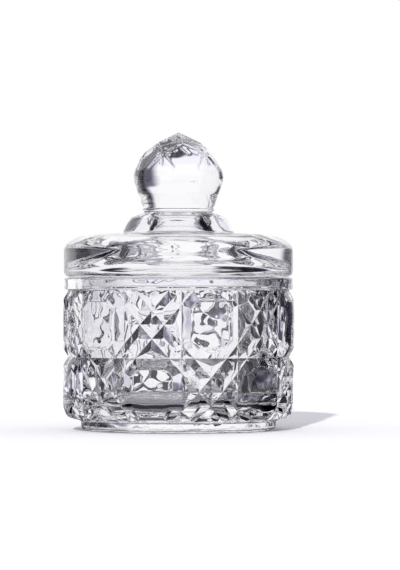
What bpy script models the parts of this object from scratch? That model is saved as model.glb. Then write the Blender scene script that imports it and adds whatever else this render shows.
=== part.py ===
"""Lidded candy dish in clear pressed glass.

Two pieces: a heavy round bowl, cut in two tiers of mitred diamonds and raised blocks, and a loose
lid pressed in one with its collar and faceted ball knob. Metres, +Z up. The origin is under the
middle of the foot, and a line between two columns of the pattern faces the front, which is -Y.
"""

import math

import bmesh
import bpy
from mathutils import Vector

MM = 0.001

# Cut pattern round the bowl
COLUMNS = 12
TIERS = 2
BODY_RADIUS = 50.0 * MM  # over the tables of the raised blocks
GROOVE_DEPTH = 2.3 * MM
TIER_HEIGHT = 28.4 * MM  # measured down the wall, heel included
BAR_WIDTH = 7.9 * MM  # between the two grooves of each diagonal pair
TABLE_STEP = 4.0 * MM  # longest face on the table of a block

# Bowl
FOOT_RADIUS = 42.0 * MM
FOOT_HEIGHT = 4.0 * MM
FOOT_EDGE = 2.4 * MM
FOOT_SHOULDER = 0.75 * MM  # from the top of the foot up to the lowest groove
RECESS_RADIUS = 34.0 * MM
RECESS_DEPTH = 0.8 * MM
HEEL_RADIUS = 8.0 * MM  # the wall curves in to the foot
HEEL_ANGLE = 60.0
BOWL_WALL = 4.6 * MM  # from the mouth out to the bottom of the grooves
WALL_DRAFT = 1.8 * MM  # the hollow is this much narrower at its floor
FLOOR_THICKNESS = 9.5 * MM
FLOOR_CORNER = 9.0 * MM
RIM_HEIGHT = 5.7 * MM
RIM_SETBACK = 0.5 * MM  # of the smooth rim band, from the blocks
RIM_EDGE = 1.1 * MM
RIM_CHAMFER = 0.7 * MM

# Lid
SEAT_GAP = 0.3 * MM
LID_HEIGHT = 18.3 * MM
LID_EDGE = 2.4 * MM
SHOULDER_RUN = 13.5 * MM
SHOULDER_RISE = 7.3 * MM
LID_CROWN = 0.6 * MM  # rise of the top from its shoulder to the collar
FLANGE_CLEARANCE = 0.8 * MM
FLANGE_WIDTH = 4.5 * MM
FLANGE_DROP = 4.5 * MM
FLANGE_EDGE = 0.9 * MM
BELL_RISE = 26.8 * MM  # of the hollow, up into the collar
BELL_LINE = [(1, 0), (0.945, 0.15), (0.78, 0.28), (0.565, 0.39), (0.42, 0.5), (0.34, 0.635), (0.28, 0.765)]
BELL_LINE += [(0.205, 0.89), (0.12, 0.965), (0, 1)]  # fractions of the hollow's radius and of its rise

# Collar and knob
COLLAR_RADIUS = 24.0 * MM
COLLAR_HEIGHT = 9.0 * MM
COLLAR_LEDGE = 0.3 * MM  # of the collar's top, round the knob
KNOB_SIDES = 5
KNOB_TURN = 9.5  # degrees from the front to the middle of a front facet
KNOB_BASE_RADIUS = 15.0 * MM
KNOB_HEIGHT = 35.0 * MM
GIRDLE_RADIUS = 19.0 * MM
GIRDLE_HEIGHT = 15.1 * MM
STAR_RADIUS = 16.6 * MM  # ring of points where the grooves of the knob cross
STAR_HEIGHT = 23.3 * MM
FACET_BEVEL = 2.0 * MM  # width of the slope round each upper facet
FACET_RISE = 1.5 * MM  # of the upper facets, from the grooves between them

TURN_STEPS = 60
ARC_STEPS = 5
BELL_STEPS = 2
WELD = 0.001 * MM
NEARLY_FLAT = math.radians(0.5)
SHARP_EDGE = math.radians(20)

# Sizes that follow from these
groove_radius = BODY_RADIUS - GROOVE_DEPTH
wall_length = TIERS * TIER_HEIGHT
heel_turn = math.radians(HEEL_ANGLE)
straight_length = wall_length - HEEL_RADIUS * heel_turn
wall_bottom = FOOT_HEIGHT + FOOT_SHOULDER
heel_top = wall_bottom + HEEL_RADIUS * math.sin(heel_turn)
wall_top = heel_top + straight_length
rim_radius = BODY_RADIUS - RIM_SETBACK
rim_top = wall_top + RIM_HEIGHT
mouth_radius = groove_radius - BOWL_WALL
sleeve_depth = BOWL_WALL / 2
core_radius = groove_radius - BOWL_WALL / 8
seat_height = rim_top + SEAT_GAP


def clear_scene():
    for obj in list(bpy.data.objects):
        bpy.data.objects.remove(obj)


def collection(name):
    made = bpy.data.collections.new(name)
    bpy.context.scene.collection.children.link(made)
    return made


def glass(name, colour):
    material = bpy.data.materials.new(name)
    material.use_nodes = True
    shader = material.node_tree.nodes["Principled BSDF"]
    shader.inputs["Base Color"].default_value = colour
    shader.inputs["Roughness"].default_value = 0.03
    shader.inputs["Metallic"].default_value = 0.0
    shader.inputs["IOR"].default_value = 1.52
    shader.inputs["Transmission Weight"].default_value = 1.0
    return material


def add_object(name, mesh, group, parent, height):
    obj = bpy.data.objects.new(name, mesh)
    group.objects.link(obj)
    obj.parent = parent
    obj.location = (0, 0, height)
    return obj


def arc(middle, radii, start, end):
    """Points of an ellipse's quarter or other stretch, from start to end degrees."""
    points = []
    for step in range(ARC_STEPS + 1):
        turn = math.radians(start + (end - start) * step / ARC_STEPS)
        points.append((middle[0] + radii[0] * math.cos(turn), middle[1] + radii[1] * math.sin(turn)))
    return points


def smooth_line(points):
    """A curve that passes through each of these points without a corner."""
    points = [Vector(point) for point in points]
    line = []
    for before, start, end, after in zip(points[:1] + points, points, points[1:], points[2:] + points[-1:]):
        for step in range(BELL_STEPS):
            t = step / BELL_STEPS
            bend = (end - before) * (t * (1 - t) ** 2) - (after - start) * (t * t * (1 - t))
            line.append(start + (end - start) * (t * t * (3 - 2 * t)) + bend / 2)
    return [tuple(point) for point in line + points[-1:]]


def turned(name, profile, group, parent, height):
    """A profile of (radius, height) points, turned about the vertical axis."""
    mesh = bpy.data.meshes.new(name)
    points = [(radius, 0, level) for radius, level in profile]
    mesh.from_pydata(points, [(i, i + 1) for i in range(len(points) - 1)], [])
    obj = add_object(name, mesh, group, parent, height)
    screw = obj.modifiers.new("Turn", "SCREW")
    screw.steps = screw.render_steps = TURN_STEPS
    screw.use_merge_vertices = True
    screw.merge_threshold = WELD
    return obj


def unite(obj, other):
    """Joins a hidden shape to the turned one, and keeps the result as a mesh with crisp cut edges."""
    other.hide_render = True
    other.display_type = "WIRE"
    union = obj.modifiers.new("Join", "BOOLEAN")
    union.operation = "UNION"
    union.object = other
    solid = bpy.data.meshes.new_from_object(obj.evaluated_get(bpy.context.evaluated_depsgraph_get()))
    obj.modifiers.clear()
    obj.data = solid
    solid.shade_smooth()
    solid.set_sharp_from_angle(angle=SHARP_EDGE)


# Cut pattern: a cell is a flat sheet at the level of the grooves, with its middle at the origin.
# A groove is (a, b, c), and the glass it bounds lies where a * u + b * v is at most c.
half_width = math.pi * groove_radius / COLUMNS
half_height = TIER_HEIGHT / 2
diagonal = Vector((1 / half_width, 1 / half_height))
across = diagonal.normalized()
near_groove = BAR_WIDTH / 2
far_groove = 2 / diagonal.length - near_groove
SIGNS = [(1, 1), (-1, 1), (-1, -1), (1, -1)]


def upright(side):
    return (side, 0, half_width)


def level(side):
    return (0, side, half_height)


def slanted(right, up, offset):
    return (right * across.x, up * across.y, offset)


def diamond_regions():
    """The pieces of a cell that two pairs of diagonal grooves leave: a middle, four sides, four bars."""
    regions = [[slanted(right, up, near_groove) for right, up in SIGNS]]
    for side in (1, -1):
        regions.append([upright(side), *(slanted(-side, up, -near_groove) for up in (1, -1))])
        regions.append([level(side), *(slanted(right, -side, -near_groove) for right in (1, -1))])
    for right, up in SIGNS:
        end = slanted(-right, -up, -near_groove)
        sides = [slanted(right, -up, near_groove), slanted(-right, up, near_groove)]
        regions.append([upright(right), level(up), end, *sides])
    return regions


def corner_regions():
    """The small triangles that the diagonals cut off a block."""
    return [
        [upright(right), level(up), slanted(-right, -up, -far_groove)] for right, up in SIGNS
    ]


def block_region():
    borders = [upright(1), level(1), upright(-1), level(-1)]
    return borders + [slanted(right, up, far_groove) for right, up in SIGNS]


def score(bm, faces, line, clear_beyond):
    """Cuts these faces along a line, and may clear what lies beyond it."""
    a, b, c = line
    normal = Vector((a, b, 0))
    edges = dict.fromkeys(edge for face in faces for edge in face.edges)
    corners = dict.fromkeys(vertex for face in faces for vertex in face.verts)
    bmesh.ops.bisect_plane(
        bm,
        geom=[*corners, *edges, *faces],
        dist=WELD,
        plane_co=normal * c / normal.length_squared,
        plane_no=normal,
        clear_outer=clear_beyond,
    )


def trimmed_sheet(lines):
    bm = bmesh.new()
    bmesh.ops.create_grid(bm, x_segments=1, y_segments=1, size=half_width + half_height)
    for line in lines:
        if bm.faces:
            score(bm, bm.faces[:], line, True)
    return bm


def add_to_cell(cell, sheet):
    mesh = bpy.data.meshes.new("sheet")
    sheet.to_mesh(mesh)
    sheet.free()
    cell.from_mesh(mesh)
    bpy.data.meshes.remove(mesh)


def add_facets(cell, region, most):
    """One sloping facet for each groove of a region: the glass that lies nearest to that groove."""
    for a, b, c in region:
        nearer = [(p - a, q - b, r - c) for p, q, r in region if (p, q, r) != (a, b, c)]
        sheet = trimmed_sheet([*region, *nearer, (-a, -b, most - c)])
        for vertex in sheet.verts:
            distance = c - a * vertex.co.x - b * vertex.co.y
            vertex.co.z = GROOVE_DEPTH * distance / near_groove
        add_to_cell(cell, sheet)


def add_table(cell, region):
    """The flat top of a block."""
    sheet = trimmed_sheet([(a, b, c - near_groove) for a, b, c in region])
    for vertex in sheet.verts:
        vertex.co.z = GROOVE_DEPTH
    add_to_cell(cell, sheet)


def score_table(cell):
    """Parts the table into small faces, so that it can follow the wall."""
    for half, (a, b) in ((half_width, (1, 0)), (half_height, (0, 1))):
        count = math.ceil(2 * half / TABLE_STEP)
        for step in range(1, count):
            table = [f for f in cell.faces if all(v.co.z > GROOVE_DEPTH - WELD for v in f.verts)]
            score(cell, table, (a, b, 2 * half * step / count - half), False)


def cell_mesh(name, is_block):
    cell = bmesh.new()
    if is_block:
        add_facets(cell, block_region(), near_groove)
        add_table(cell, block_region())
    for region in corner_regions() if is_block else diamond_regions():
        add_facets(cell, region, half_width + half_height)
    bmesh.ops.remove_doubles(cell, verts=cell.verts[:], dist=WELD)
    if is_block:
        score_table(cell)
    mesh = bpy.data.meshes.new(name)
    cell.to_mesh(mesh)
    cell.free()
    return mesh


def wrapped(point):
    """A point of the flat pattern, bent round the bowl and down over its heel."""
    turn = point.x * math.tau / (2 * half_width * COLUMNS)
    below = max(wall_length - point.y - straight_length, 0)
    bend = below / HEEL_RADIUS
    reach = HEEL_RADIUS + point.z
    radius = groove_radius - HEEL_RADIUS + reach * math.cos(bend)
    if below:
        height = heel_top - reach * math.sin(bend)
    else:
        height = wall_top - (wall_length - point.y)
    return Vector((radius * math.sin(turn), -radius * math.cos(turn), height))


def back_of_sleeve(bm):
    """Gives the flat pattern a back, from its lowest and highest grooves."""
    edges = []
    for border in (0, wall_length):
        rim = [e for e in bm.edges if all(abs(v.co.y - border) < WELD for v in e.verts)]
        made = bmesh.ops.extrude_edge_only(bm, edges=rim)["geom"]
        corners = [item for item in made if isinstance(item, bmesh.types.BMVert)]
        bmesh.ops.translate(bm, verts=corners, vec=(0, 0, -sleeve_depth))
        edges += [e for e in bm.edges if e.verts[0] in corners and e.verts[1] in corners]
    bmesh.ops.bridge_loops(bm, edges=edges)


def cut_sleeve(group, parent):
    """The whole pattern as a closed ring, which is joined to the plain turned bowl."""
    cells = [cell_mesh("diamond_cell", False), cell_mesh("block_cell", True)]
    bm = bmesh.new()
    for column in range(COLUMNS):
        for tier in range(TIERS):
            known = set(bm.verts)
            bm.from_mesh(cells[(column + tier) % 2])
            place = ((2 * column + 1) * half_width, (2 * tier + 1) * half_height, 0)
            bmesh.ops.translate(bm, verts=[v for v in bm.verts if v not in known], vec=place)
    for mesh in cells:
        bpy.data.meshes.remove(mesh)
    bmesh.ops.remove_doubles(bm, verts=bm.verts[:], dist=WELD)
    back_of_sleeve(bm)
    for vertex in bm.verts:
        vertex.co = wrapped(vertex.co)
    bmesh.ops.remove_doubles(bm, verts=bm.verts[:], dist=WELD)
    bmesh.ops.recalc_face_normals(bm, faces=bm.faces[:])
    mesh = bpy.data.meshes.new("cut_sleeve")
    bm.to_mesh(mesh)
    bm.free()
    return add_object("cut_sleeve", mesh, group, parent, 0)


def bowl_profile():
    """From the middle of the inner floor, over the rim and down the outside, to under the foot."""
    floor_radius = mouth_radius - WALL_DRAFT
    heel_middle = groove_radius - HEEL_RADIUS
    heel = core_radius - heel_middle
    points = [(0, FLOOR_THICKNESS)]
    corner = (floor_radius - FLOOR_CORNER, FLOOR_THICKNESS + FLOOR_CORNER)
    points += arc(corner, (FLOOR_CORNER, FLOOR_CORNER), -90, 0)
    edge = (RIM_EDGE, RIM_EDGE)
    points += arc((mouth_radius + RIM_EDGE, rim_top - RIM_EDGE), edge, 180, 90)
    points += arc((rim_radius - RIM_EDGE, rim_top - RIM_EDGE), edge, 90, 0)
    points += [(rim_radius, wall_top + RIM_CHAMFER), (core_radius, wall_top - RIM_CHAMFER)]
    points += arc((heel_middle, heel_top), (heel, heel), 0, -HEEL_ANGLE)
    heel_end = points[-1][0]
    if FOOT_RADIUS > heel_end:  # a wider foot stands out as a ledge under the pattern
        points += [(heel_end, FOOT_HEIGHT)]
    points += [(FOOT_RADIUS, FOOT_HEIGHT)]
    points += arc((FOOT_RADIUS - FOOT_EDGE, FOOT_EDGE), (FOOT_EDGE, FOOT_EDGE), 0, -90)
    points += [(RECESS_RADIUS, 0), (RECESS_RADIUS - 2 * RECESS_DEPTH, RECESS_DEPTH), (0, RECESS_DEPTH)]
    return points


def lid_profile():
    """From the middle of the collar's top, down the outside to the flange, and up into the hollow."""
    collar_inner = KNOB_BASE_RADIUS + COLLAR_LEDGE
    collar_base = LID_HEIGHT + LID_CROWN
    shoulder = rim_radius - SHOULDER_RUN
    flange_outer = mouth_radius - FLANGE_CLEARANCE
    hollow = flange_outer - FLANGE_WIDTH
    edge = (FLANGE_EDGE, FLANGE_EDGE)
    tip = FLANGE_EDGE - FLANGE_DROP
    points = [(0, collar_base + COLLAR_HEIGHT)]
    points += arc((collar_inner, collar_base), (COLLAR_RADIUS - collar_inner, COLLAR_HEIGHT), 90, 0)
    points += arc((shoulder, LID_HEIGHT - SHOULDER_RISE), (SHOULDER_RUN, SHOULDER_RISE), 90, 0)
    points += arc((rim_radius - LID_EDGE, LID_EDGE), (LID_EDGE, LID_EDGE), 0, -90)
    points += [(flange_outer, 0)]
    points += arc((flange_outer - FLANGE_EDGE, tip), edge, 0, -90)
    points += arc((hollow + FLANGE_EDGE, tip), edge, -90, -180)
    points += smooth_line([(hollow * across, BELL_RISE * up) for across, up in BELL_LINE])
    return points


def ring(count, radius, height, turn):
    """Points round the axis, the first at this many degrees from the front."""
    turns = [math.radians(turn + 360 * i / count) for i in range(count)]
    return [(radius * math.sin(t), -radius * math.cos(t), height) for t in turns]


def knob_points():
    """Corners of the knob, from its top: five upper points, five star points, girdle, base, root."""
    half = math.cos(math.pi / KNOB_SIDES)
    upper_slope = (KNOB_HEIGHT - STAR_HEIGHT) / STAR_RADIUS
    front_slope = (STAR_HEIGHT - GIRDLE_HEIGHT) / (GIRDLE_RADIUS - STAR_RADIUS * half)
    # The top facets and the front facets are flat, which places the points that they share.
    reach = STAR_HEIGHT + front_slope * STAR_RADIUS * half - KNOB_HEIGHT
    upper_radius = reach / (front_slope - upper_slope * half)
    upper_height = KNOB_HEIGHT - upper_slope * upper_radius * half
    between = KNOB_TURN + 180 / KNOB_SIDES
    points = [(0, 0, KNOB_HEIGHT)]
    points += ring(KNOB_SIDES, upper_radius, upper_height, KNOB_TURN)
    points += ring(KNOB_SIDES, STAR_RADIUS, STAR_HEIGHT, between)
    points += ring(2 * KNOB_SIDES, GIRDLE_RADIUS, GIRDLE_HEIGHT, KNOB_TURN)
    points += ring(2 * KNOB_SIDES, KNOB_BASE_RADIUS, 0, KNOB_TURN)
    points += ring(2 * KNOB_SIDES, KNOB_BASE_RADIUS - COLLAR_HEIGHT / 16, -COLLAR_HEIGHT / 16, KNOB_TURN)
    return points


def faceted_knob(group, parent):
    """Faceted ball, its upper facets raised between grooves, whose root goes down into the collar."""
    bm = bmesh.new()
    for point in knob_points():
        bm.verts.new(point)
    bmesh.ops.convex_hull(bm, input=bm.verts[:])
    bmesh.ops.dissolve_limit(bm, angle_limit=NEARLY_FLAT, verts=bm.verts[:], edges=bm.edges[:])
    above = [face for face in bm.faces if min(v.co.z for v in face.verts) > GIRDLE_HEIGHT - WELD]
    facets = [face for face in above if len(face.verts) == 4]
    bmesh.ops.inset_individual(bm, faces=facets, thickness=FACET_BEVEL, depth=FACET_RISE)
    bmesh.ops.recalc_face_normals(bm, faces=bm.faces[:])
    mesh = bpy.data.meshes.new("faceted_knob")
    bm.to_mesh(mesh)
    bm.free()
    return add_object("faceted_knob", mesh, group, parent, LID_HEIGHT + LID_CROWN + COLLAR_HEIGHT)


def build():
    clear_scene()
    dish = collection("candy_dish")
    helpers = collection("joined_shapes")
    stand = bpy.data.objects.new("candy_dish_stand", None)
    dish.objects.link(stand)

    bowl = turned("bowl", bowl_profile(), dish, stand, 0)
    unite(bowl, cut_sleeve(helpers, stand))
    bowl.data.materials.append(glass("bowl_glass", (0.93, 0.935, 0.955, 1)))

    lid = turned("lid", lid_profile(), dish, stand, seat_height)
    unite(lid, faceted_knob(helpers, lid))
    lid.data.materials.append(glass("lid_glass", (0.94, 0.945, 0.96, 1)))


build()
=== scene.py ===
# %% [markdown]
# # A lidded candy dish in clear pressed glass
#
# The real dish is two heavy pieces of colourless glass: a round bowl whose wall is cut in two tiers of
# mitred diamonds and raised blocks, and a loose lid pressed in one with its collar and faceted knob.
# Glass has no colour of its own to hide behind. What you see is the light bent by every facet, so the
# lesson is mostly about clean closed meshes, soft edges, and what stands round the dish in the studio.
#
# We start from the imported model, which gives the two bodies that the pieces ride on.

# %% Load the frame
import math

import bmesh
import bpy
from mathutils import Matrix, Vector


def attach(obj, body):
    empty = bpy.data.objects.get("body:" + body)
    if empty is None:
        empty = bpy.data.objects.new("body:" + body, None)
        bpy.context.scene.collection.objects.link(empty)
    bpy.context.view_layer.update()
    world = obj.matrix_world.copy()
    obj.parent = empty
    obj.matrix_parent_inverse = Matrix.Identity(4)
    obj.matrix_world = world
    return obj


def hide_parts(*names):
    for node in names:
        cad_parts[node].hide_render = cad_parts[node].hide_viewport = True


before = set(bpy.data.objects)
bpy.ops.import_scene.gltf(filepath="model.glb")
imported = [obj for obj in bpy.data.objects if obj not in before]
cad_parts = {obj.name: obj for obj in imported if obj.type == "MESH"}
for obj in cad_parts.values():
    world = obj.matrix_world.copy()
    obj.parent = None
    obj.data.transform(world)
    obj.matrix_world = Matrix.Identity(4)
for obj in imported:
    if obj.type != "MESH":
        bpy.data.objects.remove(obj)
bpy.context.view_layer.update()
MM = 0.001

# %% [markdown]
# ## Selecting in code
#
# Every operator works on what is selected, and the loaded nodes come in selected. By hand you would click
# on a face or an edge. In a script we deselect everything, then pick faces and edges with a small test on
# their place, which is the one habit that keeps a long script from changing the wrong mesh.


# %% Pick faces and edges by a test
def deselect_objects():
    bpy.ops.object.select_all(action="DESELECT")


def only(piece):
    """Makes this object the active one, and the only one selected."""
    deselect_objects()
    piece.select_set(True)
    bpy.context.view_layer.objects.active = piece


def pick(kind, test):
    """In edit mode, selects just the faces or edges that pass a test, and returns how many did."""
    bpy.ops.mesh.select_mode(type=kind)
    bpy.ops.mesh.select_all(action="DESELECT")
    mesh = bpy.context.object.data
    opened = bmesh.from_edit_mesh(mesh)
    found = [item for item in (opened.faces if kind == "FACE" else opened.edges) if test(item)]
    for item in found:
        item.select_set(True)
    opened.select_flush_mode()
    bmesh.update_edit_mesh(mesh)
    return len(found)


def middle_of(edge):
    return (edge.verts[0].co + edge.verts[1].co) / 2


print("helpers: deselect_objects, only, pick, middle_of")

# %% [markdown]
# ## The cut pattern, laid flat
#
# Round the bowl run twelve columns and two tiers of cells. A cell is either a diamond cell, where two
# pairs of diagonal grooves leave a small diamond, four triangles and four bars, or a block cell, where
# the diagonals only clip the corners of one large raised block. The cells alternate like a chessboard.
#
# The grooves could be carved into a finished bowl with cutters, but thin slivers would be left where they
# cross. It is far cleaner to draw one cell flat, as on paper, and wrap the finished sheet round the bowl.

# %% Sizes of the pattern
COLUMNS = 12
TIERS = 2
GROOVE_RADIUS = 47.7 * MM  # of the bowl, at the bottom of its grooves
GROOVE_DEPTH = 2.3 * MM
TIER_HEIGHT = 28.4 * MM
BAR_WIDTH = 7.9 * MM  # between the two grooves of a diagonal pair
RIDGE_WIDTH = 0.9 * MM  # pressed glass has blunt ridges
WELD = 0.001 * MM

half_width = math.pi * GROOVE_RADIUS / COLUMNS
half_height = TIER_HEIGHT / 2
near_groove = BAR_WIDTH / 2
diagonal = Vector((1 / half_width, 1 / half_height, 0))
across = diagonal.normalized()
far_groove = 2 / diagonal.length - near_groove
print(f"cell {2 * half_width / MM:.2f} x {2 * half_height / MM:.2f} mm")


# %% Score a flat cell along its diagonals
def scored_cell(name, offset):
    """A flat cell with its middle at the origin, bisected by four diagonals at this distance from it."""
    deselect_objects()
    bpy.ops.mesh.primitive_plane_add(size=2)
    cell = bpy.context.object
    cell.name = name
    cell.scale = (half_width, half_height, 1)
    bpy.ops.object.transform_apply(location=False, rotation=False, scale=True)
    bpy.ops.object.mode_set(mode="EDIT")
    for slant in (1, -1):
        for side in (1, -1):
            normal = Vector((slant * across.x, across.y, 0))
            bpy.ops.mesh.select_all(action="SELECT")
            bpy.ops.mesh.bisect(plane_co=normal * side * offset, plane_no=normal)
    return cell


def region_middles():
    opened = bmesh.from_edit_mesh(bpy.context.object.data)
    return [face.calc_center_median() for face in opened.faces]


def raise_region(middle, width):
    """Insets the flat region that has this middle, and lifts its inner part on the slope of the cut."""
    pick("FACE", lambda face: (face.calc_center_median() - middle).length < WELD)
    slope = GROOVE_DEPTH / near_groove
    bpy.ops.mesh.inset(thickness=width, depth=width * slope, use_even_offset=True)


def region_reach(middle):
    """How far a region's middle line lies from its grooves, which is how wide its facets can be."""
    opened = bmesh.from_edit_mesh(bpy.context.object.data)
    face = min(opened.faces, key=lambda face: (face.calc_center_median() - middle).length)
    return min(near_groove, 2 * face.calc_area() / face.calc_perimeter())


print("grooves", round(near_groove / MM, 2), "or", round(far_groove / MM, 2), "mm from a cell's middle")


# %% [markdown]
# ### Diamond cell
#
# Each region between the grooves is a low roof. Inset makes one in a single step: it draws the region's
# outline inwards and lifts the part that is left. Stopping just short of the middle line leaves a narrow
# flat along the ridge, as on glass that came out of a mould and was polished by fire.

# %% Make the diamond cell
diamond_cell = scored_cell("diamond_cell", near_groove)
for middle in region_middles():
    raise_region(middle, region_reach(middle) - RIDGE_WIDTH / 2)
bpy.ops.object.mode_set(mode="OBJECT")
print("diamond cell:", len(diamond_cell.data.polygons), "faces")

# %% [markdown]
# ### Block cell
#
# The block is the same roof cut off high up, so its top is a wide eight-sided table. The table is scored
# into small squares, because it has to follow the round wall later, and lifted a little in the middle:
# polished tables are never quite flat, and that slight crown is what makes each one act as a lens.

# %% Make the block cell
TABLE_STEP = 2.0 * MM  # longest face on a table
TABLE_CROWN = 0.3 * MM
TABLE_ROUNDING = 0.8 * MM
TABLE_ROUND_STEPS = 4

block_cell = scored_cell("block_cell", far_groove)
for middle in region_middles():
    is_block = middle.length < WELD
    raise_region(middle, near_groove if is_block else region_reach(middle) - RIDGE_WIDTH / 2)
pick("FACE", lambda face: face.calc_center_median().z > GROOVE_DEPTH - WELD)
bpy.ops.mesh.region_to_loop()
bpy.ops.mesh.bevel(offset=TABLE_ROUNDING, segments=TABLE_ROUND_STEPS, affect="EDGES")

for half, normal in ((half_width, Vector((1, 0, 0))), (half_height, Vector((0, 1, 0)))):
    steps = math.ceil(2 * half / TABLE_STEP)
    for step in range(1, steps):
        pick("FACE", lambda face: face.calc_center_median().z > GROOVE_DEPTH - WELD)
        bpy.ops.mesh.bisect(plane_co=normal * half * (2 * step / steps - 1), plane_no=normal)
bpy.ops.object.mode_set(mode="OBJECT")

table_half = Vector((half_width - near_groove, half_height - near_groove))
for vertex in block_cell.data.vertices:
    if vertex.co.z > GROOVE_DEPTH - WELD:
        bulge = (1 - (vertex.co.x / table_half.x) ** 2) * (1 - (vertex.co.y / table_half.y) ** 2)
        vertex.co.z += TABLE_CROWN * max(bulge, 0)
print("block cell:", len(block_cell.data.polygons), "faces")

# %% [markdown]
# ### The whole sheet
#
# Two diamond cells and two block cells make a square that repeats, so they are copied once, joined, and
# repeated round the bowl by an Array. The Array also merges the edges where two squares meet.

# %% Lay out the sheet
cells = []
for column in range(2):
    for tier in range(TIERS):
        only(block_cell if (column + tier) % 2 else diamond_cell)
        bpy.ops.object.duplicate(linked=False)
        copy = bpy.context.object
        copy.location = ((2 * column + 1) * half_width, (2 * tier + 1) * half_height, 0)
        cells.append(copy)
only(cells[0])
for copy in cells:
    copy.select_set(True)
bpy.ops.object.transform_apply(location=True, rotation=False, scale=False)
bpy.ops.object.join()
bowl = bpy.context.object
bowl.name = "bowl_glass"
for cell in (diamond_cell, block_cell):
    bpy.data.objects.remove(cell)

repeat = bowl.modifiers.new("Round the bowl", "ARRAY")
repeat.count = COLUMNS // 2
repeat.use_relative_offset = False
repeat.use_constant_offset = True
repeat.constant_offset_displace = (4 * half_width, 0, 0)
repeat.use_merge_vertices = True
repeat.merge_threshold = WELD
bpy.ops.object.modifier_apply(modifier=repeat.name)
bpy.ops.object.mode_set(mode="EDIT")
bpy.ops.mesh.select_all(action="SELECT")
bpy.ops.mesh.remove_doubles(threshold=WELD)
bpy.ops.object.mode_set(mode="OBJECT")
print("sheet:", len(bowl.data.polygons), "faces,", round(bowl.dimensions.x / MM, 1), "mm long")

# %% [markdown]
# The sheet's top and bottom edges will turn into the rim and the foot. They are still long straight
# pieces, and the rim would come out many-sided, so those edges alone are subdivided until each is short.

# %% Subdivide the two long borders
BORDER_STEP = 1.4 * MM
wall_length = TIERS * TIER_HEIGHT


def on_border(edge):
    return any(all(abs(v.co.y - border) < WELD for v in edge.verts) for border in (0, wall_length))


bpy.ops.object.mode_set(mode="EDIT")
border_edges = [edge for edge in bmesh.from_edit_mesh(bowl.data).edges if on_border(edge)]
lengths = {round(edge.calc_length() / WELD) for edge in border_edges}
for length in sorted(lengths):
    new_points = math.ceil(length * WELD / BORDER_STEP) - 1
    if new_points > 0:
        pick("EDGE", lambda edge: on_border(edge) and round(edge.calc_length() / WELD) == length)
        bpy.ops.mesh.subdivide(number_cuts=new_points)
bpy.ops.object.mode_set(mode="OBJECT")
print("border edges were", [round(length * WELD / MM, 2) for length in sorted(lengths)], "mm")

# %% [markdown]
# ## Wrapping the sheet round the bowl
#
# Most of the wall is upright, and its lowest part curves in over the heel to the foot. A Simple Deform
# bend could roll the sheet up, but the heel needs a second bend the other way, so a short formula places
# each point: its distance along the sheet becomes a turn about the axis, and its height runs down the
# wall and round the heel.

# %% Wrap it
FOOT_HEIGHT = 4.0 * MM
FOOT_SHOULDER = 0.75 * MM
HEEL_RADIUS = 8.0 * MM
HEEL_TURN = math.radians(60)

straight_length = wall_length - HEEL_RADIUS * HEEL_TURN
wall_bottom = FOOT_HEIGHT + FOOT_SHOULDER
heel_top = wall_bottom + HEEL_RADIUS * math.sin(HEEL_TURN)
wall_top = heel_top + straight_length


def wrapped(point):
    turn = math.tau * point.x / (2 * half_width * COLUMNS)
    below = wall_length - point.y - straight_length
    reach = HEEL_RADIUS + point.z
    bend = max(below, 0) / HEEL_RADIUS
    radius = GROOVE_RADIUS - HEEL_RADIUS + reach * math.cos(bend)
    height = heel_top - reach * math.sin(bend) if below > 0 else heel_top - below
    return Vector((radius * math.sin(turn), -radius * math.cos(turn), height))


for vertex in bowl.data.vertices:
    vertex.co = wrapped(vertex.co)
bpy.ops.object.mode_set(mode="EDIT")
bpy.ops.mesh.select_all(action="SELECT")
bpy.ops.mesh.remove_doubles(threshold=WELD)
bpy.ops.mesh.normals_make_consistent(inside=False)
bpy.ops.object.mode_set(mode="OBJECT")
print("wall from", round(wall_bottom / MM, 2), "to", round(wall_top / MM, 2), "mm")

# %% [markdown]
# ## Soft edges
#
# Nothing pressed in glass has a knife edge. A rounded groove also works as a tiny lens, which is why the
# grooves of such a dish read as bright lines. A Bevel modifier rounds every crease that turns by more
# than a set angle, and leaves the small turns between the squares of a table alone.

# %% Round the creases
GROOVE_ROUNDING = 0.42 * MM
CREASE_ANGLE = math.radians(17)
ROUND_STEPS = 3

rounding = bowl.modifiers.new("Soft edges", "BEVEL")
rounding.limit_method = "ANGLE"
rounding.angle_limit = CREASE_ANGLE
rounding.width = GROOVE_ROUNDING
rounding.segments = ROUND_STEPS
only(bowl)
bpy.ops.object.modifier_apply(modifier=rounding.name)
print("rounded wall:", len(bowl.data.polygons), "faces")

# %% [markdown]
# ## Rim, hollow, floor and foot
#
# The rest of the bowl is turned, like anything made on a wheel. We grow it out of the wall itself: select
# the loop of edges along the top, extrude it, and lay the new loop on a circle of the next radius and
# height. Ring by ring it goes over the rim, down the inside and to the middle of the floor, where it is
# merged to a point. The wall and the turned parts are then one skin, with no seam inside the glass to
# catch the light.


# %% Draw a loop on, ring by ring
LOOP_REACH = 2.0 * MM  # a loop's edges lie within this of its height


def arc(middle, radii, start, end, steps=8):
    """Points of (radius, height) along a stretch of an ellipse, from start to end degrees."""
    turns = [math.radians(start + (end - start) * step / steps) for step in range(steps + 1)]
    return [(middle[0] + radii[0] * math.cos(t), middle[1] + radii[1] * math.sin(t)) for t in turns]


def draw_ring(radius, height):
    """Extrudes the selected loop, and lays the new one on a circle about the upright axis."""
    bpy.ops.mesh.extrude_region()
    mesh = bpy.context.object.data
    opened = bmesh.from_edit_mesh(mesh)
    for vertex in opened.verts:
        if vertex.select:
            flat = Vector((vertex.co.x, vertex.co.y, 0)).normalized() * radius
            vertex.co = (flat.x, flat.y, height)
    bmesh.update_edit_mesh(mesh)


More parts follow.
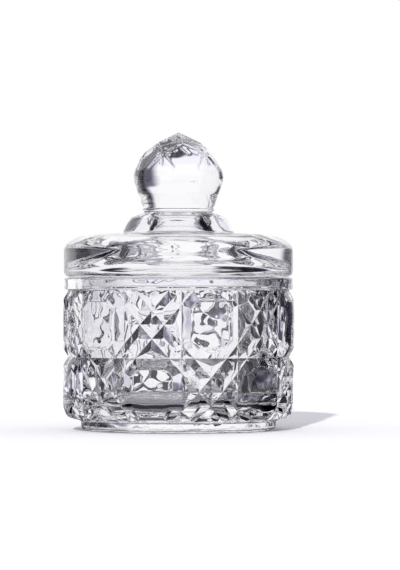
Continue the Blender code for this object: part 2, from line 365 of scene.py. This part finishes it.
def draw_profile(points):
    """Draws the selected loop along a profile, and merges it to a point where that ends on the axis."""
    for radius, height in points:
        draw_ring(radius, height)
    if points[-1][0] == 0:
        bpy.ops.mesh.merge(type="CENTER")


def pick_open_loop(height):
    """Selects the open edges that lie near this height."""
    return pick("EDGE", lambda edge: edge.is_boundary and abs(middle_of(edge).z - height) < LOOP_REACH)


print("helpers: arc, draw_ring, draw_profile, pick_open_loop")


# %% Rim, hollow and floor
RIM_RADIUS = 49.5 * MM
RIM_HEIGHT = 5.7 * MM
RIM_EDGE = 1.1 * MM
RIM_CHAMFER = 0.7 * MM
BOWL_WALL = 4.6 * MM
WALL_DRAFT = 1.8 * MM
FLOOR_THICKNESS = 9.5 * MM
FLOOR_CORNER = 9.0 * MM
CHAMFER_EDGE = 0.4 * MM

rim_top = wall_top + RIM_HEIGHT
mouth_radius = GROOVE_RADIUS - BOWL_WALL
floor_radius = mouth_radius - WALL_DRAFT
edge = (RIM_EDGE, RIM_EDGE)
corner_middle = (floor_radius - FLOOR_CORNER, FLOOR_THICKNESS + FLOOR_CORNER)
inside_of_bowl = [(RIM_RADIUS - CHAMFER_EDGE, wall_top + RIM_CHAMFER - CHAMFER_EDGE / 2)]
inside_of_bowl += [(RIM_RADIUS - CHAMFER_EDGE / 4, wall_top + RIM_CHAMFER)]
inside_of_bowl += [(RIM_RADIUS, wall_top + RIM_CHAMFER + CHAMFER_EDGE)]
inside_of_bowl += arc((RIM_RADIUS - RIM_EDGE, rim_top - RIM_EDGE), edge, 0, 90)
inside_of_bowl += arc((mouth_radius + RIM_EDGE, rim_top - RIM_EDGE), edge, 90, 180)
inside_of_bowl += arc(corner_middle, (FLOOR_CORNER, FLOOR_CORNER), 0, -90, steps=14)
inside_of_bowl += [(0, FLOOR_THICKNESS)]

bpy.ops.object.mode_set(mode="EDIT")
print("top loop:", pick_open_loop(wall_top), "edges")
draw_profile(inside_of_bowl)

# %% Foot and the recess under it
FOOT_RADIUS = 42.0 * MM
FOOT_EDGE = 2.4 * MM
FOOT_FILLET = 0.3 * MM
RECESS_RADIUS = 34.0 * MM
RECESS_DEPTH = 0.8 * MM
RECESS_EDGE = 0.6 * MM

foot_edge = (FOOT_EDGE, FOOT_EDGE)
under_bowl = [(FOOT_RADIUS + FOOT_FILLET, FOOT_HEIGHT + FOOT_FILLET / 2), (FOOT_RADIUS, FOOT_HEIGHT)]
under_bowl += arc((FOOT_RADIUS - FOOT_EDGE, FOOT_EDGE), foot_edge, 0, -90)
under_bowl += arc((RECESS_RADIUS, RECESS_EDGE), (RECESS_EDGE, RECESS_EDGE), -90, -135, steps=3)
under_bowl += [(RECESS_RADIUS - 2 * RECESS_DEPTH, RECESS_DEPTH), (0, RECESS_DEPTH)]
print("bottom loop:", pick_open_loop(wall_bottom), "edges")
draw_profile(under_bowl)
bpy.ops.mesh.select_all(action="SELECT")
bpy.ops.mesh.normals_make_consistent(inside=False)
bpy.ops.object.mode_set(mode="OBJECT")
print("bowl:", len(bowl.data.polygons), "faces")

# %% [markdown]
# ## Knob
#
# The knob is a solid ball of glass, a little pointed at the top. Its upper half is cut in five sides, and
# the cuts meet in small stars, as they do where a cutting wheel crosses its own track. A knob of a few
# flat faces would be quicker, but a real one stays round between its cuts. So we begin with the upper
# half of a fine UV sphere, give it the outline of the ball, and cut into that.

# %% Shape the ball
SEAT_GAP = 0.3 * MM  # the lid rests on the rim, with a hair of air between the two meshes
LID_HEIGHT = 18.3 * MM
LID_CROWN = 0.6 * MM
COLLAR_HEIGHT = 9.0 * MM
KNOB_HEIGHT = 35.0 * MM
GIRDLE_RADIUS = 19.4 * MM
GIRDLE_HEIGHT = 15.2 * MM
BALL_POWER = 1.7  # 2 is an ellipse, and less is more pointed
BALL_SEGMENTS = 360
BALL_RINGS = 200

seat_height = rim_top + SEAT_GAP
knob_base = seat_height + LID_HEIGHT + LID_CROWN + COLLAR_HEIGHT
girdle = knob_base + GIRDLE_HEIGHT


def on_ball(turn, rise):
    """A point of the ball: its turn from the front, and its rise from the widest line (0) to the top (1)."""
    angle = rise * math.pi / 2
    radius = GIRDLE_RADIUS * max(math.cos(angle), 0) ** (2 / BALL_POWER)
    height = (KNOB_HEIGHT - GIRDLE_HEIGHT) * math.sin(angle) ** (2 / BALL_POWER)
    return Vector((radius * math.sin(turn), -radius * math.cos(turn), girdle + height))


deselect_objects()
bpy.ops.mesh.primitive_uv_sphere_add(segments=BALL_SEGMENTS, ring_count=BALL_RINGS, radius=1)
lid = bpy.context.object
lid.name = "lid_glass"
bpy.ops.object.mode_set(mode="EDIT")
bpy.ops.mesh.select_all(action="SELECT")
bpy.ops.mesh.bisect(plane_co=(0, 0, 0), plane_no=(0, 0, 1), clear_inner=True)
for vertex in bmesh.from_edit_mesh(lid.data).verts:
    turn = math.atan2(vertex.co.x, -vertex.co.y)
    vertex.co = on_ball(turn, math.asin(min(max(vertex.co.z, 0), 1)) / (math.pi / 2))
print("ball:", pick("EDGE", lambda edge: edge.is_boundary), "edges round its widest line")

# %% [markdown]
# First the cutter grinds flats on the ball, then runs a wheel along the lines between them. A wheel cuts
# a straight groove, which lies in a plane through the middle of the ball. The five sides are alike and
# each is its own mirror image, so one half of one side is enough: each point is folded into it, and the
# nearest flat or groove says how far from the middle the glass ends there.

# %% Lay out the flats and the cuts
KNOB_SIDES = 5
KNOB_TURN = math.radians(9.5)
STAR_RISE = 0.365
CORNER_RISE = 0.56
# Each flat has a turn in sides, a rise and a depth, and each ray of a star ends at a turn and a rise.
FLATS = [(0.5, 0.7, 2.0 * MM), (0, 0.36, 1.3 * MM), (0.5, 0.2, 0.6 * MM)]
STAR_RAYS = [(0.25, 0.14), (0.5, 0.2), (0.5, 0.47), (0.38, STAR_RISE)]
SMALL_STEP = 0.01  # to find which way the ball faces

side = math.tau / KNOB_SIDES
ball_middle = Vector((0, 0, girdle))
star = on_ball(side / 2, STAR_RISE)
corner = on_ball(0, CORNER_RISE)
wheel_cuts = [(corner, star)] + [(star, on_ball(turn * side, rise)) for turn, rise in STAR_RAYS]
flats = []
for turn, rise, depth in FLATS:
    point = on_ball(turn * side, rise)
    upwards = on_ball(turn * side, rise + SMALL_STEP) - point
    sideways = on_ball(turn * side + SMALL_STEP, rise) - point
    facing = upwards.cross(sideways).normalized()
    facing *= math.copysign(1, facing.dot(point - ball_middle))
    flats.append((facing, facing.dot(point - ball_middle) - depth))
print("half a side has", len(flats), "flats and", len(wheel_cuts), "cuts")

# %% Cut the facets
FLAT_ROUNDING = 0.1 * MM
FLAT_SPREAD = 0.5  # a flat stays on its own side of the ball, up to this cosine from its middle
CUT_WIDTH = 0.8 * MM
CUT_DEPTH = 0.75 * MM


def ground_away(reach, outward):
    """How much the flats take off in this direction, where the ball reaches this far from its middle."""
    ahead = [(facing.dot(outward), distance) for facing, distance in flats]
    beyond = [reach - distance / cosine for cosine, distance in ahead if cosine > FLAT_SPREAD]
    return FLAT_ROUNDING * math.log(1 + sum(math.exp(depth / FLAT_ROUNDING) for depth in beyond))


def wheel_distance(point):
    """How far this point lies from the nearest cut."""
    nearest = math.inf
    for start, end in wheel_cuts:
        run = end - start
        along = (point - start).dot(run) / run.length_squared
        past_end = max(-along, along - 1, 0) * run.length
        aside = (point - start).dot((start - ball_middle).cross(end - ball_middle).normalized())
        nearest = min(nearest, math.hypot(aside, past_end))
    return nearest


def left_by_cutter(turn, rise):
    """How much of the ball's radius is left here, as a fraction."""
    folded = abs((turn - KNOB_TURN + side / 2) % side - side / 2)
    point = on_ball(folded, rise)
    reach = (point - ball_middle).length
    groove = CUT_DEPTH * math.exp(-((wheel_distance(point) / CUT_WIDTH) ** 2))
    return 1 - (ground_away(reach, (point - ball_middle) / reach) + groove) / reach


deepest = 1
for vertex in bmesh.from_edit_mesh(lid.data).verts:
    if not vertex.is_boundary:
        turn = math.atan2(vertex.co.x, -vertex.co.y)
        level = (vertex.co.z - girdle) / (KNOB_HEIGHT - GIRDLE_HEIGHT)
        rise = math.asin(min(level ** (BALL_POWER / 2), 1)) / (math.pi / 2)
        left = left_by_cutter(turn, rise)
        vertex.co = ball_middle + (vertex.co - ball_middle) * left
        deepest = min(deepest, left)
print("knob: the cutter leaves at least", round(100 * deepest, 1), "% of the ball's radius")

# %% [markdown]
# ## Lid
#
# The lid is pressed in one with the knob, so it grows out of the knob's widest line just as the rim grew
# out of the wall. The profile runs down the round lower half of the knob to a narrow neck, over the
# rounded collar, the flat top, the shoulder and the side, under the edge that rests on the rim, and round
# the flange that keeps the lid from sliding off. It ends in the hollow, a bell that flares at its mouth
# and rises into the collar. Collar and bell have no corners, and arcs alone would need many radii, so a
# smooth line is drawn through a few points of each.

# %% Lower half of the knob, neck and collar
GIRDLE_ROUNDING = 8.0 * MM
WAIST_RADIUS = 15.3 * MM
WAIST_HEIGHT = 1.9 * MM
BEAD = 0.15 * MM  # a thin bead where the knob meets its neck
BEAD_SWEEP = 60  # degrees to either side
PAST_SLOPE = 2  # degrees by which the rounding runs into the slope below it
# Radii, and heights from the foot of the knob, in millimetres.
COLLAR = [(14.9, 0.3), (15.2, -0.2), (17.5, -0.95), (20.0, -2.0), (21.6, -3.9)]
COLLAR += [(22.5, -5.4), (23.3, -7.1), (24.1, -8.6), (25.1, -9.0)]


def smooth_line(points, steps=5):
    """A curve that passes through each of these points without a corner."""
    points = [Vector(point) for point in points]
    line = []
    padded = points[:1] + points + points[-1:]
    for before, start, end, after in zip(padded, padded[1:], padded[2:], padded[3:]):
        for step in range(steps):
            t = step / steps
            bend = (end - before) * (t * (1 - t) ** 2) - (after - start) * (t * t * (1 - t))
            line.append(start + (end - start) * (t * t * (3 - 2 * t)) + bend / 2)
    return [tuple(point) for point in line + points[-1:]]


knob_slope = math.degrees(math.atan2(GIRDLE_RADIUS - WAIST_RADIUS, GIRDLE_HEIGHT - WAIST_HEIGHT))
rounding = (GIRDLE_ROUNDING, GIRDLE_ROUNDING)
rounding_middle = (GIRDLE_RADIUS - GIRDLE_ROUNDING, GIRDLE_HEIGHT)
below_girdle = arc(rounding_middle, rounding, 0, -knob_slope - PAST_SLOPE, steps=8)[1:]
below_girdle += [(WAIST_RADIUS, WAIST_HEIGHT)]
neck = arc((WAIST_RADIUS, WAIST_HEIGHT / 2), (BEAD, WAIST_HEIGHT / 4), BEAD_SWEEP, -BEAD_SWEEP, steps=4)
collar = smooth_line([(radius * MM, height * MM) for radius, height in COLLAR])
top_of_lid = [(radius, knob_base + height) for radius, height in below_girdle + neck + collar]
draw_profile(top_of_lid)
print("collar meets the lid at", round(top_of_lid[-1][1] / MM, 2), "mm")

# %% Top, side, flange and hollow
LID_EDGE = 2.4 * MM
SHOULDER_RUN = 13.5 * MM
SHOULDER_RISE = 7.3 * MM
FLANGE_CLEARANCE = 0.8 * MM
FLANGE_WIDTH = 4.5 * MM
FLANGE_DROP = 4.5 * MM
FLANGE_EDGE = 0.9 * MM
# Fractions of the radius of the bell's mouth, and heights in millimetres.
BELL = [(1, 0), (0.945, 4), (0.78, 7.5), (0.565, 10.45), (0.42, 13.4)]
BELL += [(0.34, 17), (0.28, 20.5), (0.205, 23.85), (0.12, 25.85), (0, 26.8)]

flange_outer = mouth_radius - FLANGE_CLEARANCE
hollow_radius = flange_outer - FLANGE_WIDTH
flange_tip = FLANGE_EDGE - FLANGE_DROP
flange_edge = (FLANGE_EDGE, FLANGE_EDGE)
shoulder_middle = (RIM_RADIUS - SHOULDER_RUN, LID_HEIGHT - SHOULDER_RISE)
over_lid = arc(shoulder_middle, (SHOULDER_RUN, SHOULDER_RISE), 90, 0, steps=16)
over_lid += arc((RIM_RADIUS - LID_EDGE, LID_EDGE), (LID_EDGE, LID_EDGE), 0, -90)
over_lid += [(flange_outer, 0)]
over_lid += arc((flange_outer - FLANGE_EDGE, flange_tip), flange_edge, 0, -90, steps=5)
over_lid += arc((hollow_radius + FLANGE_EDGE, flange_tip), flange_edge, -90, -180, steps=5)
over_lid += smooth_line([(hollow_radius * fraction, height * MM) for fraction, height in BELL])
draw_profile([(radius, seat_height + height) for radius, height in over_lid])
bpy.ops.mesh.select_all(action="SELECT")
bpy.ops.mesh.normals_make_consistent(inside=False)
bpy.ops.object.mode_set(mode="OBJECT")
print("lid:", len(lid.data.polygons), "faces")

# %% [markdown]
# ## Shading the meshes
#
# Flat facets have to stay flat to the light while their rounded edges blend. Smooth shading by angle
# comes first, and a Weighted Normal modifier then lets the large facets keep their own direction, so the
# narrow rounded strips do all the turning. On glass this matters more than anywhere else, because every
# ray is bent by that direction.

# %% Smooth shading with weighted normals
SHARP_ANGLE = math.radians(40)
MILLILITRE = (10 * MM) ** 3

for piece in (bowl, lid):
    only(piece)
    bpy.ops.object.shade_smooth_by_angle(angle=SHARP_ANGLE)
    weighted = piece.modifiers.new("Keep facets flat", "WEIGHTED_NORMAL")
    weighted.keep_sharp = True
    bpy.ops.object.modifier_apply(modifier=weighted.name)
    opened = bmesh.new()
    opened.from_mesh(piece.data)
    open_edges = sum(not edge.is_manifold for edge in opened.edges)
    volume = opened.calc_volume() / MILLILITRE
    opened.free()
    print(piece.name, "has", open_edges, "open edges and", round(volume, 1), "ml of glass")

# %% [markdown]
# ## Clear glass
#
# The dish is colourless soda glass with a faint cool cast, and a Principled shader with full transmission
# and the index of refraction of such glass is most of it. Pressed glass is never optically perfect. The
# plunger that shapes the inside leaves slow waves behind it, and the mould outside leaves far shallower
# ones, so a wide noise bends the normal a little, and more on the inside. The waves are what turns
# straight edges behind the glass into flowing ones. The ring that the dish stands on is worn dull, and
# the roughness says so.


# %% Join shader nodes
def join(tree, operation, first, second):
    """A Math node on two sockets or numbers, and its output."""
    node = tree.nodes.new("ShaderNodeMath")
    node.operation = operation
    for socket, value in zip(node.inputs, (first, second)):
        if isinstance(value, bpy.types.NodeSocket):
            tree.links.new(value, socket)
        else:
            socket.default_value = value
    return node.outputs["Value"]


def ramp(tree, value, low, high, start=0.0, end=1.0):
    """A soft step that is at start where the value is low and at end where it is high."""
    node = tree.nodes.new("ShaderNodeMapRange")
    node.interpolation_type = "SMOOTHSTEP"
    node.inputs["From Min"].default_value = low
    node.inputs["From Max"].default_value = high
    node.inputs["To Min"].default_value = start
    node.inputs["To Max"].default_value = end
    tree.links.new(value, node.inputs["Value"])
    return node.outputs["Result"]


print("helpers: join, ramp")

# %% Make the glass
GLASS_IOR = 1.52
GLASS_COLOUR = (0.975, 0.97, 0.985, 1)
WAVE_SCALE = 130
WAVE_DETAIL = 1.0
WAVE_BORDER = 1.0 * MM  # to either side of where the inside ends
INSIDE_WAVE = 0.55 * MM
OUTSIDE_WAVE = 0.08 * MM
WEAR_ROUGHNESS = 0.25
WEAR_HEIGHT = 0.25 * MM


def clear_glass(name, inside_radius):
    """Glass whose surface is wavy within this distance from the axis, and nearly true outside it."""
    material = bpy.data.materials.new(name)
    material.use_nodes = True
    tree = material.node_tree
    shader = tree.nodes["Principled BSDF"]
    shader.inputs["Base Color"].default_value = GLASS_COLOUR
    shader.inputs["IOR"].default_value = GLASS_IOR
    shader.inputs["Transmission Weight"].default_value = 1.0
    place = tree.nodes.new("ShaderNodeTexCoord").outputs["Object"]
    parts = tree.nodes.new("ShaderNodeSeparateXYZ")
    tree.links.new(place, parts.inputs["Vector"])
    square = [join(tree, "POWER", parts.outputs[axis], 2) for axis in "XY"]
    radius = join(tree, "SQRT", join(tree, "ADD", *square), 0)
    border = (inside_radius - WAVE_BORDER, inside_radius + WAVE_BORDER)
    depth = ramp(tree, radius, *border, INSIDE_WAVE, OUTSIDE_WAVE)
    wave = tree.nodes.new("ShaderNodeTexNoise")
    wave.inputs["Scale"].default_value = WAVE_SCALE
    wave.inputs["Detail"].default_value = WAVE_DETAIL
    tree.links.new(place, wave.inputs["Vector"])
    bump = tree.nodes.new("ShaderNodeBump")
    tree.links.new(depth, bump.inputs["Distance"])
    tree.links.new(wave.outputs["Fac"], bump.inputs["Height"])
    tree.links.new(bump.outputs["Normal"], shader.inputs["Normal"])
    wear = ramp(tree, parts.outputs["Z"], WEAR_HEIGHT, 2 * WEAR_HEIGHT, WEAR_ROUGHNESS, 0.0)
    tree.links.new(wear, shader.inputs["Roughness"])
    return material


print("glass: waves", round(INSIDE_WAVE / OUTSIDE_WAVE, 1), "times as deep on the inside")

# %% [markdown]
# The two pieces now take their glass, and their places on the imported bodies. The bowl's wavy inside ends
# half way through its wall. The lid's hollow is as true as its outer skin, so for the lid the inside ends
# at the axis.

# %% Hand the pieces to their bodies
bowl_inside = (mouth_radius + GROOVE_RADIUS) / 2
lid_inside = 0

for piece, body, inside_radius in ((bowl, "bowl", bowl_inside), (lid, "lid", lid_inside)):
    piece.data.materials.clear()
    piece.data.materials.append(clear_glass(body + "_clear_glass", inside_radius))
    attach(piece, body)
    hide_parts(body)

# %% [markdown]
# ## Studio
#
# Clear glass shows nothing but its surroundings, bent. Glass is usually lit from behind: a bright
# backdrop fills it with light, and dark flags at both sides draw the black lines and patches along every
# edge. Lamps and boards could stand round the dish, but they would also be seen. So we paint a bright
# room into the world by direction, with a backdrop and soft-edged flags. The camera sees plain white
# there, and only the glass sees the panels.

# %% Soft-edged windows and blends
PANEL_SOFTNESS = 6.0  # degrees to either side of an edge


def window(tree, value, low, high):
    """1 between the two values and 0 outside them, with soft edges."""
    rising = ramp(tree, value, low - PANEL_SOFTNESS, low + PANEL_SOFTNESS)
    falling = ramp(tree, value, high - PANEL_SOFTNESS, high + PANEL_SOFTNESS, 1.0, 0.0)
    return join(tree, "MULTIPLY", rising, falling)


def blend(tree, factor, first, second):
    """A Mix node on two sockets or numbers, and its output."""
    node = tree.nodes.new("ShaderNodeMix")
    tree.links.new(factor, node.inputs["Factor"])
    for socket, value in zip((node.inputs["A"], node.inputs["B"]), (first, second)):
        if isinstance(value, bpy.types.NodeSocket):
            tree.links.new(value, socket)
        else:
            socket.default_value = value
    return node.outputs["Result"]


print("helpers: window, blend")

# %% Levels of the room by direction
ROOM_LEVEL = 0.92
# Azimuth from and to (0 is behind the dish, 90 to the right), elevation from and to, and level.
PANELS = {
    "backdrop": (-56, 32, -30, 60, 1.05),
    "low flag at the right": (24, 40, -30, 5, 0.1),
    "flag at the left": (-112, -54, -30, 50, 0.01),
    "flag at the right": (36, 118, -30, 62, 0.0),
}


def room(tree, direction, on_floor):
    """How bright the room is in this direction. On the floor a panel counts at any height."""
    parts = tree.nodes.new("ShaderNodeSeparateXYZ")
    tree.links.new(direction, parts.inputs["Vector"])
    azimuth = join(tree, "DEGREES", join(tree, "ARCTAN2", parts.outputs["X"], parts.outputs["Y"]), 0)
    elevation = join(tree, "DEGREES", join(tree, "ARCSINE", parts.outputs["Z"], 0), 0)
    level = ROOM_LEVEL
    for left, right, bottom, top, panel_level in PANELS.values():
        panel = window(tree, azimuth, left, right)
        if not on_floor:
            panel = join(tree, "MULTIPLY", panel, window(tree, elevation, bottom, top))
        level = blend(tree, panel, level, panel_level)
    return level


print("panels:", ", ".join(PANELS))

# %% Paint the room into the world
AMBIENT = 0.65
SHADE = (0.009, 0.0075, 0.015, 1)
HALF_LEVEL = 0.4
HALF_TONE = (0.4, 0.38, 0.475, 1)


def tinted(tree, level):
    """A faint cool cast on the middle tones."""
    tint = tree.nodes.new("ShaderNodeValToRGB")
    tint.color_ramp.elements[0].color = SHADE
    tint.color_ramp.elements.new(HALF_LEVEL).color = HALF_TONE
    tree.links.new(level, tint.inputs["Fac"])
    return tint.outputs["Color"]


def seen_in_glass(tree, level):
    """This level for rays off or through the glass, an even one for plain light, white for the camera."""
    path = tree.nodes.new("ShaderNodeLightPath")
    in_glass = join(tree, "MAXIMUM", path.outputs["Is Glossy Ray"], path.outputs["Is Transmission Ray"])
    return blend(tree, in_glass, blend(tree, path.outputs["Is Diffuse Ray"], 1.0, AMBIENT), level)


world = bpy.data.worlds.new("studio")
bpy.context.scene.world = world
world.use_nodes = True
tree = world.node_tree
direction = tree.nodes.new("ShaderNodeTexCoord").outputs["Generated"]
level = seen_in_glass(tree, room(tree, direction, on_floor=False))
tree.links.new(tinted(tree, level), tree.nodes["Background"].inputs["Color"])
print("world:", len(tree.nodes), "nodes")

# %% [markdown]
# ### Floor
#
# The floor is a white sheet. A plain white plane would show a seam where it ends, so with distance it
# fades to a white glow that matches the room. The glass sees the floor too, and for its rays the floor's
# colour is painted: a painted shadow, dark under and behind the dish where the dish would keep the light
# off it and lifting slowly to white further out, and a painted pool of light straight below, where light
# would gather in the thick base.

# %% Lay the floor
FLOOR_SIZE = 6.0
FLOOR_ROUGHNESS = 0.9

deselect_objects()
bpy.ops.mesh.primitive_plane_add(size=FLOOR_SIZE, location=(0, 0, 0))
floor = bpy.context.object
floor.name = "floor"
floor_material = bpy.data.materials.new("white_floor")
floor_material.use_nodes = True
floor.data.materials.append(floor_material)
tree = floor_material.node_tree
shader = tree.nodes["Principled BSDF"]
shader.inputs["Roughness"].default_value = FLOOR_ROUGHNESS
shader.inputs["Specular IOR Level"].default_value = 0.0
print("floor:", FLOOR_SIZE, "m wide")

# %% Paint shadow and light into the floor that the glass sees
# For the glass's rays the floor's colour carries painted shade and light: a painted shadow round a middle
# behind the dish, and a painted pool of light right under it.
FLOOR_WHITE = 0.97
SHADOW_SHAPE = (1, 0.6, 1)  # the shade is longer to the back, so depth is squeezed before it is measured
SHADOW_MIDDLE = Vector((22, 62, 0)) * MM  # in that squeezed measure
SHADOW_REACH = (55 * MM, 125 * MM)
PAINTED_DIM_REACH = (250 * MM, 600 * MM)
PAINTED_DIM_LEVEL = 0.88
PAINTED_POOL_REACH = (32 * MM, 45 * MM)
PAINTED_POOL_LEVEL = 0.55


def measure(tree, operation, place, other=None):
    """A Vector Math node on this place and another vector."""
    node = tree.nodes.new("ShaderNodeVectorMath")
    node.operation = operation
    tree.links.new(place, node.inputs[0])
    if other is not None:
        node.inputs[1].default_value = other
    return node


place = tree.nodes.new("ShaderNodeTexCoord").outputs["Object"]
squeezed = measure(tree, "MULTIPLY", place, SHADOW_SHAPE).outputs["Vector"]
reach = measure(tree, "DISTANCE", squeezed, SHADOW_MIDDLE).outputs["Value"]
# painted shadow: black near its middle, rising to the painted dim level further out
near = ramp(tree, reach, *SHADOW_REACH, 0.0, PAINTED_DIM_LEVEL)
# the painted shade lifts to full white far from the dish
far = ramp(tree, reach, *PAINTED_DIM_REACH, 0.0, 1 - PAINTED_DIM_LEVEL)
# the room's panels are painted into the floor's colour too: painted shade toward the flags, painted light
# toward the backdrop
level = join(tree, "MULTIPLY", room(tree, place, on_floor=True), join(tree, "ADD", near, far))
from_axis = measure(tree, "LENGTH", place).outputs["Value"]
# a painted pool of light straight under the dish
level = join(tree, "MAXIMUM", level, ramp(tree, from_axis, *PAINTED_POOL_REACH, PAINTED_POOL_LEVEL, 0.0))
level = join(tree, "MULTIPLY", seen_in_glass(tree, level), FLOOR_WHITE)
colour = tinted(tree, level)
tree.links.new(colour, shader.inputs["Base Color"])
print("floor shade:", len(tree.nodes), "nodes")

# %% Fade the floor into the room
FLOOR_FADE = (420 * MM, 900 * MM)

glow = tree.nodes.new("ShaderNodeEmission")
tree.links.new(colour, glow.inputs["Color"])
glow.inputs["Strength"].default_value = 1 / FLOOR_WHITE
fade = tree.nodes.new("ShaderNodeMixShader")
tree.links.new(ramp(tree, reach, *FLOOR_FADE), fade.inputs["Fac"])
tree.links.new(shader.outputs["BSDF"], fade.inputs[1])
tree.links.new(glow.outputs["Emission"], fade.inputs[2])
tree.links.new(fade.outputs["Shader"], tree.nodes["Material Output"].inputs["Surface"])
print("floor fades out from", round(FLOOR_FADE[0] / MM), "to", round(FLOOR_FADE[1] / MM), "mm")

# %% [markdown]
# ### Key lamp
#
# One low lamp in front of the dish throws its shadow back across the floor, with a crisp edge. A near
# lamp would also light the floor unevenly, so a Sun does it, which is equally strong everywhere. The
# glass doesn't show the lamp itself: a bright dot in every facet would hide the pattern. Light crosses
# many walls in such a dish, so the paths may be long.

# %% Place the key lamp
KEY_TURN = math.radians(-169.8)  # from straight behind the dish
KEY_RISE = math.radians(23)
KEY_SIZE = math.radians(1.3)
KEY_STRENGTH = 3.2
LONGEST_PATH = 40
GLASS_BOUNCES = 32

key_data = bpy.data.lights.new("key", "SUN")
key_data.angle = KEY_SIZE
key_data.energy = KEY_STRENGTH
key = bpy.data.objects.new("key", key_data)
bpy.context.scene.collection.objects.link(key)
level_run = math.cos(KEY_RISE)
key_way = Vector((math.sin(KEY_TURN) * level_run, math.cos(KEY_TURN) * level_run, math.sin(KEY_RISE)))
key.visible_glossy = False
key.visible_transmission = False
key.rotation_euler = key_way.to_track_quat("Z", "Y").to_euler()

cycles = bpy.context.scene.cycles
cycles.max_bounces = LONGEST_PATH
cycles.transmission_bounces = GLASS_BOUNCES
cycles.glossy_bounces = GLASS_BOUNCES
print("key lamp:", round(math.degrees(KEY_RISE)), "degrees high")

# %% [markdown]
# ## Camera
#
# The dish was photographed from a little under half its height, from far enough away that its sides look
# upright. The camera's place comes from the scale at the dish's axis and a long focal length in pixels,
# and it turns just enough to bring the axis and the horizon to where the photograph has them.

# %% Place the camera
PIXEL = 0.432 * MM  # at the dish's axis
PHOTO_SIZE = (400, 570)
FOCAL_PIXELS = 3200
AXIS_PIXEL = 178.5  # from the left edge
HORIZON_PIXEL = 298  # from the top edge
CAMERA_HEIGHT = 57.0 * MM
CAMERA_TURN = math.radians(-1.5)
SENSOR = 36.0

lens = bpy.data.cameras.new("camera")
camera = bpy.data.objects.new("camera", lens)
bpy.context.scene.collection.objects.link(camera)
bpy.context.scene.camera = camera
lens.sensor_width = SENSOR
lens.lens = SENSOR * FOCAL_PIXELS / max(PHOTO_SIZE)
distance = FOCAL_PIXELS * PIXEL
camera.location = (distance * math.sin(CAMERA_TURN), -distance * math.cos(CAMERA_TURN), CAMERA_HEIGHT)
yaw = math.atan((PHOTO_SIZE[0] / 2 - AXIS_PIXEL) / FOCAL_PIXELS)
pitch = math.atan((HORIZON_PIXEL - PHOTO_SIZE[1] / 2) / FOCAL_PIXELS)
camera.rotation_euler = (math.pi / 2 + pitch, 0, CAMERA_TURN - yaw)
bpy.context.scene.view_settings.view_transform = "Standard"
print("camera:", round(distance, 2), "m from the dish")
